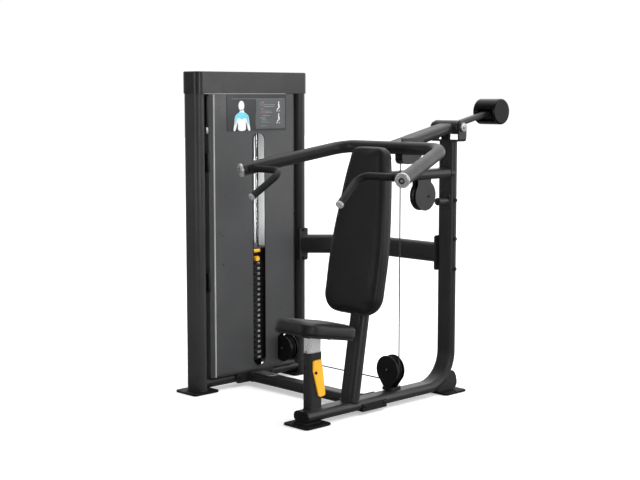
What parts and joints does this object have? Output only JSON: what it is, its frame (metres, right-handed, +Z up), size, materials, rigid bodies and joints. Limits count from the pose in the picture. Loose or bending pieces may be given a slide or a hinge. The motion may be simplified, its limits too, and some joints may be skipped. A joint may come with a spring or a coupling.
{
  "type": "shoulder press machine",
  "caption": "Seated shoulder press machine: bent press arm with grips on a rear pivot, counterweight, cable to a shrouded weight tower, back pad and height-adjustable seat.",
  "frame": {"origin": "centre of the footprint box, on the floor", "axes": "+Z up, the seated user faces -Y, the weight tower stands on the -X side"},
  "size_m": [1.4923, 1.4969, 1.609],
  "materials": {
    "frame_paint": "fine textured charcoal powder coat",
    "black_paint": "black powder coat",
    "panel_grey": "satin grey powder coat",
    "liner_grey": "light grey satin powder coat",
    "cap_plastic": "fine leather-grain black moulding",
    "placard": "satin printed film",
    "black_plastic": "moulded satin",
    "plates": "black coated steel plate",
    "pad_vinyl": "fine-grain black upholstery vinyl",
    "pad_board": "satin black board cover",
    "rubber": "matte",
    "grip_rubber": "ribbed soft grip",
    "alu": "brushed",
    "chrome": "polished",
    "bolt_black": "black oxide",
    "steel": "zinc plated",
    "cable": "black nylon jacket over steel rope",
    "yellow": "amber yellow moulding"
  },
  "bodies": {
    "frame": {"arm_cable": "cable", "back_pad": "pad_vinyl", "back_pad_board": "pad_board", "base_rail": "frame_paint", "floor_pulley_guard": "black_paint", "foot_rubbers": "rubber", "frame_bolts": "bolt_black", "front_foot_plate": "black_paint", "front_shroud": "panel_grey", "guide_rods": "chrome", "idler_guard": "frame_paint", "lever_pin": "bolt_black", "lower_crossbeam": "frame_paint", "middle_beam": "frame_paint", "middle_beam_elbow": "frame_paint", "pad_post": "frame_paint", "pad_support_tube": "frame_paint", "pivot_shaft": "steel", "pivot_yoke": "frame_paint", "placard": "placard", "rail_bend": "frame_paint", "rail_end_cap": "black_plastic", "rail_saddle": "black_paint", "rear_foot_plate": "black_paint", "rear_heel": "frame_paint", "rear_shroud": "liner_grey", "rear_upright": "frame_paint", "rubber_stops": "rubber", "run_cable": "cable", "seat_sleeve": "frame_paint", "stack_cable": "cable", "top_cap": "cap_plastic", "top_pulley_bracket": "black_paint", "tower_base_beam": "frame_paint", "tower_feet": "black_paint", "tower_front_column": "frame_paint", "tower_pulley_guard": "black_paint", "tower_rear_column": "frame_paint", "tower_top_beam": "frame_paint", "weight_stack": "plates"},
    "press_arm": {"arm_spine": "frame_paint", "counterweight_bar": "frame_paint", "pivot_housing": "frame_paint", "arm_tube": "frame_paint", "arm_grips": "grip_rubber", "grip_caps": "alu", "arm_end_caps": "alu", "counterweight": "black_paint", "cable_anchor": "frame_paint"},
    "weight_carriage": {"stack_head": "black_paint"},
    "pin_body": {"selector_pin": "yellow"},
    "floor_wheel": {"floor_pulley": "black_plastic"},
    "tower_wheel": {"tower_pulley": "black_plastic"},
    "top_wheel_front": {"top_pulley_front": "black_plastic"},
    "top_wheel_rear": {"top_pulley_rear": "black_plastic"},
    "idler_wheel": {"idler_pulley": "black_plastic"},
    "seat_carriage": {"seat_post": "chrome", "seat_carrier": "pad_board", "seat_pad": "pad_vinyl"},
    "lever_body": {"seat_lever": "yellow"}
  },
  "joints": [
    {"name": "press_arm_pivot", "type": "hinge", "parent": "frame", "child": "press_arm", "pos_m": [0.19469, 0.34325, 1.335], "axis": [-1, 0, 0], "range_deg": [0, 35], "deforming": ["arm_cable"]},
    {"name": "weight_lift", "type": "slide", "parent": "frame", "child": "weight_carriage", "axis": [0, 0, 1], "range_m": [0, 0.252], "deforming": ["stack_cable"]},
    {"name": "selector_pin_pull", "type": "slide", "parent": "weight_carriage", "child": "pin_body", "axis": [1, 0, 0], "range_m": [0, 0.045]},
    {"name": "floor_pulley_turn", "type": "hinge", "parent": "frame", "child": "floor_wheel", "pos_m": [0.17569, -0.04975, 0.168], "axis": [0, -1, 0], "range_deg": [0, 262]},
    {"name": "tower_pulley_turn", "type": "hinge", "parent": "frame", "child": "tower_wheel", "pos_m": [-0.57531, -0.04975, 0.168], "axis": [0, -1, 0], "range_deg": [0, 262]},
    {"name": "top_front_pulley_turn", "type": "hinge", "parent": "frame", "child": "top_wheel_front", "pos_m": [-0.66693, -0.18612, 1.432], "axis": [-0.9658, 0.2594, 0], "range_deg": [0, 360]},
    {"name": "top_rear_pulley_turn", "type": "hinge", "parent": "frame", "child": "top_wheel_rear", "pos_m": [-0.64069, -0.08838, 1.432], "axis": [-0.9658, 0.2594, 0], "range_deg": [0, 360]},
    {"name": "idler_turn", "type": "hinge", "parent": "frame", "child": "idler_wheel", "pos_m": [0.20969, 0.14325, 1.007], "axis": [1, 0, 0], "continuous": true},
    {"name": "seat_height", "type": "slide", "parent": "frame", "child": "seat_carriage", "axis": [0, 0, 1], "range_m": [-0.03, 0.1]},
    {"name": "seat_lever_turn", "type": "hinge", "parent": "frame", "child": "lever_body", "pos_m": [0.22769, -0.60875, 0.244], "axis": [-1, 0, 0], "range_deg": [0, 14], "stiffness_Nm_per_rad": 0.6, "springref_deg": -20.05}
  ],
  "couplings": [
    {"joint": "weight_lift", "follows": "press_arm_pivot", "m_per_rad": 0.41},
    {"joint": "floor_pulley_turn", "follows": "press_arm_pivot", "ratio": 7.4545},
    {"joint": "tower_pulley_turn", "follows": "press_arm_pivot", "ratio": 7.4545},
    {"joint": "top_front_pulley_turn", "follows": "press_arm_pivot", "ratio": 10.25},
    {"joint": "top_rear_pulley_turn", "follows": "press_arm_pivot", "ratio": 10.25}
  ]
}
